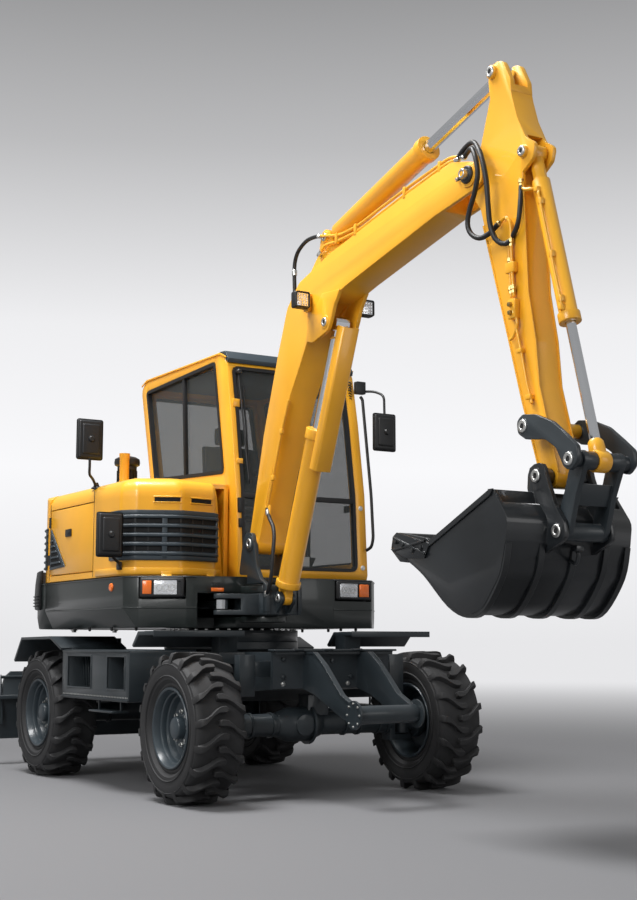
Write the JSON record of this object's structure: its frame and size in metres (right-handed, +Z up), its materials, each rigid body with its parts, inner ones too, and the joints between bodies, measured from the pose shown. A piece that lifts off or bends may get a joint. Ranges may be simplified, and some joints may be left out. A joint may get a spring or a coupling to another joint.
{
  "type": "wheeled excavator",
  "caption": "Compact wheeled excavator with slewing cab and hood, swinging boom, arm and bucket, steered front axle and a raised dozer blade at the rear.",
  "frame": {"origin": "on the ground at the middle of the machine's overall length and width, the boom straight ahead", "axes": "+Z up, -Y toward the bucket (the machine's front), +X to the machine's left"},
  "size_m": [2.225, 5.8436, 3.7314],
  "materials": {
    "yellow_paint": "gloss",
    "slate_paint": "satin",
    "black_paint": "satin",
    "wheel_paint": "satin",
    "chrome_rod": "polished",
    "tyre_rubber": "matte",
    "tinted_glass": "polished",
    "seat_cloth": "matte",
    "black_plastic": "matte",
    "lamp_glass": "gloss",
    "engine_iron": "satin"
  },
  "bodies": {
    "chassis": {"chassis_frame": "slate_paint", "front_axle": "slate_paint", "rear_axle": "slate_paint", "fender_front_left": "black_paint", "fender_front_right": "black_paint", "toolbox_left": "black_paint", "toolbox_right": "black_paint"},
    "steer_left": {"knuckle_left": "slate_paint"},
    "steer_right": {"knuckle_right": "slate_paint"},
    "wheel_front_left": {"tyre_front_left": "tyre_rubber", "rim_front_left": "wheel_paint"},
    "wheel_front_right": {"tyre_front_right": "tyre_rubber", "rim_front_right": "wheel_paint"},
    "wheel_rear_left": {"tyre_rear_left": "tyre_rubber", "rim_rear_left": "wheel_paint"},
    "wheel_rear_right": {"tyre_rear_right": "tyre_rubber", "rim_rear_right": "wheel_paint"},
    "blade": {"blade": "slate_paint"},
    "blade_barrel": {"blade_cylinder": "yellow_paint"},
    "blade_rod": {"blade_cylinder_rod": "chrome_rod"},
    "upper": {"deck_frame": "black_paint", "counterweight": "black_paint", "hood_right": "yellow_paint", "exhaust_pipe": "yellow_paint", "rear_body": "yellow_paint", "engine": "engine_iron", "cab_shell": "yellow_paint", "windscreen": "tinted_glass", "right_window": "tinted_glass", "left_window": "tinted_glass", "rear_window": "tinted_glass", "seat": "seat_cloth", "steering_column": "black_plastic", "pre_cleaner": "black_plastic", "mirror_right": "black_plastic", "mirror_front_right": "black_plastic", "mirror_left": "black_plastic", "headlamp_right": "lamp_glass", "headlamp_left": "lamp_glass", "swing_cylinder": "slate_paint"},
    "side_door": {"side_door": "yellow_paint"},
    "engine_cover": {"engine_cover": "yellow_paint"},
    "cab_door": {"cab_door": "yellow_paint", "door_glass": "tinted_glass"},
    "swing_post": {"swing_post": "slate_paint"},
    "swing_rod": {"swing_cylinder_rod": "chrome_rod"},
    "boom": {"boom": "yellow_paint", "boom_light_right": "black_plastic", "boom_light_left": "black_plastic"},
    "boom_barrel": {"boom_cylinder": "yellow_paint"},
    "boom_rod": {"boom_cylinder_rod": "chrome_rod"},
    "arm": {"arm": "yellow_paint"},
    "arm_barrel": {"arm_cylinder": "yellow_paint"},
    "arm_rod": {"arm_cylinder_rod": "chrome_rod"},
    "bucket_barrel": {"bucket_cylinder": "yellow_paint"},
    "bucket_rod": {"bucket_cylinder_rod": "chrome_rod"},
    "rocker": {"rocker_link_right": "slate_paint", "rocker_link_left": "slate_paint"},
    "link": {"bucket_link": "slate_paint"},
    "bucket": {"bucket": "slate_paint"}
  },
  "joints": [
    {"name": "slew", "type": "hinge", "parent": "chassis", "child": "upper", "pos_m": [0, 0.8525, 0.98], "axis": [0, 0, 1], "continuous": true},
    {"name": "steer_left_pin", "type": "hinge", "parent": "chassis", "child": "steer_left", "pos_m": [0.64, -0.2005, 0.42], "axis": [0, 0, 1], "range_deg": [-28, 28]},
    {"name": "steer_right_pin", "type": "hinge", "parent": "chassis", "child": "steer_right", "pos_m": [-0.64, -0.2005, 0.42], "axis": [0, 0, 1], "range_deg": [-28, 28]},
    {"name": "spin_front_left", "type": "hinge", "parent": "steer_left", "child": "wheel_front_left", "pos_m": [0.81, -0.2005, 0.42], "axis": [1, 0, 0], "continuous": true},
    {"name": "spin_front_right", "type": "hinge", "parent": "steer_right", "child": "wheel_front_right", "pos_m": [-0.81, -0.2005, 0.42], "axis": [1, 0, 0], "continuous": true},
    {"name": "spin_rear_left", "type": "hinge", "parent": "chassis", "child": "wheel_rear_left", "pos_m": [0.81, 1.9055, 0.42], "axis": [1, 0, 0], "continuous": true},
    {"name": "spin_rear_right", "type": "hinge", "parent": "chassis", "child": "wheel_rear_right", "pos_m": [-0.81, 1.9055, 0.42], "axis": [1, 0, 0], "continuous": true},
    {"name": "blade_lift", "type": "hinge", "parent": "chassis", "child": "blade", "pos_m": [0, 2.1825, 0.47], "axis": [1, 0, 0], "range_deg": [-22, 10]},
    {"name": "blade_cylinder_pin", "type": "hinge", "parent": "chassis", "child": "blade_barrel", "pos_m": [0, 2.2525, 0.745], "axis": [1, 0, 0], "range_deg": [-21, 10]},
    {"name": "blade_cylinder_stroke", "type": "slide", "parent": "blade_barrel", "child": "blade_rod", "axis": [0, 0.9564, -0.292], "range_m": [-0.055, 0.112]},
    {"name": "side_door_hinge", "type": "hinge", "parent": "upper", "child": "side_door", "pos_m": [-0.931, 1.7825, 1.57], "axis": [0, 0, -1], "range_deg": [0, 85]},
    {"name": "engine_cover_hinge", "type": "hinge", "parent": "upper", "child": "engine_cover", "pos_m": [-0.612, 2.3525, 1.58], "axis": [0, 0, 1], "range_deg": [0, 75]},
    {"name": "cab_door_hinge", "type": "hinge", "parent": "upper", "child": "cab_door", "pos_m": [0.915, 1.4105, 2.05], "axis": [0, 0, 1], "range_deg": [0, 160]},
    {"name": "boom_swing", "type": "hinge", "parent": "upper", "child": "swing_post", "pos_m": [-0.15, 0.0625, 1.125], "axis": [0, 0, 1], "range_deg": [-50, 75]},
    {"name": "swing_cylinder_stroke", "type": "slide", "parent": "upper", "child": "swing_rod", "axis": [0, -1, 0], "range_m": [-0.215, 0.32]},
    {"name": "boom_lift", "type": "hinge", "parent": "swing_post", "child": "boom", "pos_m": [-0.15, 0.1045, 1.498], "axis": [-1, 0, 0], "range_deg": [-55, 24]},
    {"name": "boom_cylinder_pin", "type": "hinge", "parent": "swing_post", "child": "boom_barrel", "pos_m": [-0.15, -0.1225, 1.16], "axis": [-1, 0, 0], "range_deg": [-51, 22.5]},
    {"name": "boom_cylinder_stroke", "type": "slide", "parent": "boom_barrel", "child": "boom_rod", "axis": [0, -0.3657, 0.9307], "range_m": [-0.37, 0.165]},
    {"name": "arm_turn", "type": "hinge", "parent": "boom", "child": "arm", "pos_m": [-0.15, -2.1025, 3.206], "axis": [1, 0, 0], "range_deg": [-74, 25]},
    {"name": "arm_cylinder_pin", "type": "hinge", "parent": "boom", "child": "arm_barrel", "pos_m": [-0.15, -0.6875, 3.246], "axis": [1, 0, 0], "range_deg": [-5.5, 2]},
    {"name": "arm_cylinder_stroke", "type": "slide", "parent": "arm_barrel", "child": "arm_rod", "axis": [0, -0.9634, 0.2682], "range_m": [-0.62, 0.215]},
    {"name": "bucket_turn", "type": "hinge", "parent": "arm", "child": "bucket", "pos_m": [-0.15, -2.6295, 1.64], "axis": [1, 0, 0], "range_deg": [-130, 15]},
    {"name": "rocker_turn", "type": "hinge", "parent": "arm", "child": "rocker", "pos_m": [-0.15, -2.5815, 1.87], "axis": [1, 0, 0], "range_deg": [-107, 13]},
    {"name": "link_turn", "type": "hinge", "parent": "bucket", "child": "link", "pos_m": [-0.15, -2.7615, 1.383], "axis": [1, 0, 0], "range_deg": [-11, 88]},
    {"name": "bucket_cylinder_pin", "type": "hinge", "parent": "arm", "child": "bucket_barrel", "pos_m": [-0.15, -2.4975, 3.213], "axis": [1, 0, 0], "range_deg": [-1.5, 0.5]},
    {"name": "bucket_cylinder_stroke", "type": "slide", "parent": "bucket_barrel", "child": "bucket_rod", "axis": [0, -0.2464, -0.9692], "range_m": [-0.59, 0.07]}
  ],
  "couplings": [
    {"joint": "steer_right_pin", "follows": "steer_left_pin", "ratio": 1},
    {"joint": "blade_cylinder_pin", "follows": "blade_lift", "ratio": 0.93},
    {"joint": "blade_cylinder_stroke", "follows": "blade_lift", "m_per_rad": -0.278},
    {"joint": "swing_cylinder_stroke", "follows": "boom_swing", "m_per_rad": 0.24},
    {"joint": "boom_cylinder_pin", "follows": "boom_lift", "ratio": 0.91},
    {"joint": "boom_cylinder_stroke", "follows": "boom_lift", "m_per_rad": 0.375},
    {"joint": "arm_cylinder_pin", "follows": "arm_turn", "ratio": 0.07},
    {"joint": "arm_cylinder_stroke", "follows": "arm_turn", "m_per_rad": 0.474},
    {"joint": "rocker_turn", "follows": "bucket_turn", "ratio": 0.81},
    {"joint": "link_turn", "follows": "bucket_turn", "ratio": -0.66},
    {"joint": "bucket_cylinder_pin", "follows": "bucket_turn", "ratio": 0.01},
    {"joint": "bucket_cylinder_stroke", "follows": "bucket_turn", "m_per_rad": 0.252}
  ]
}
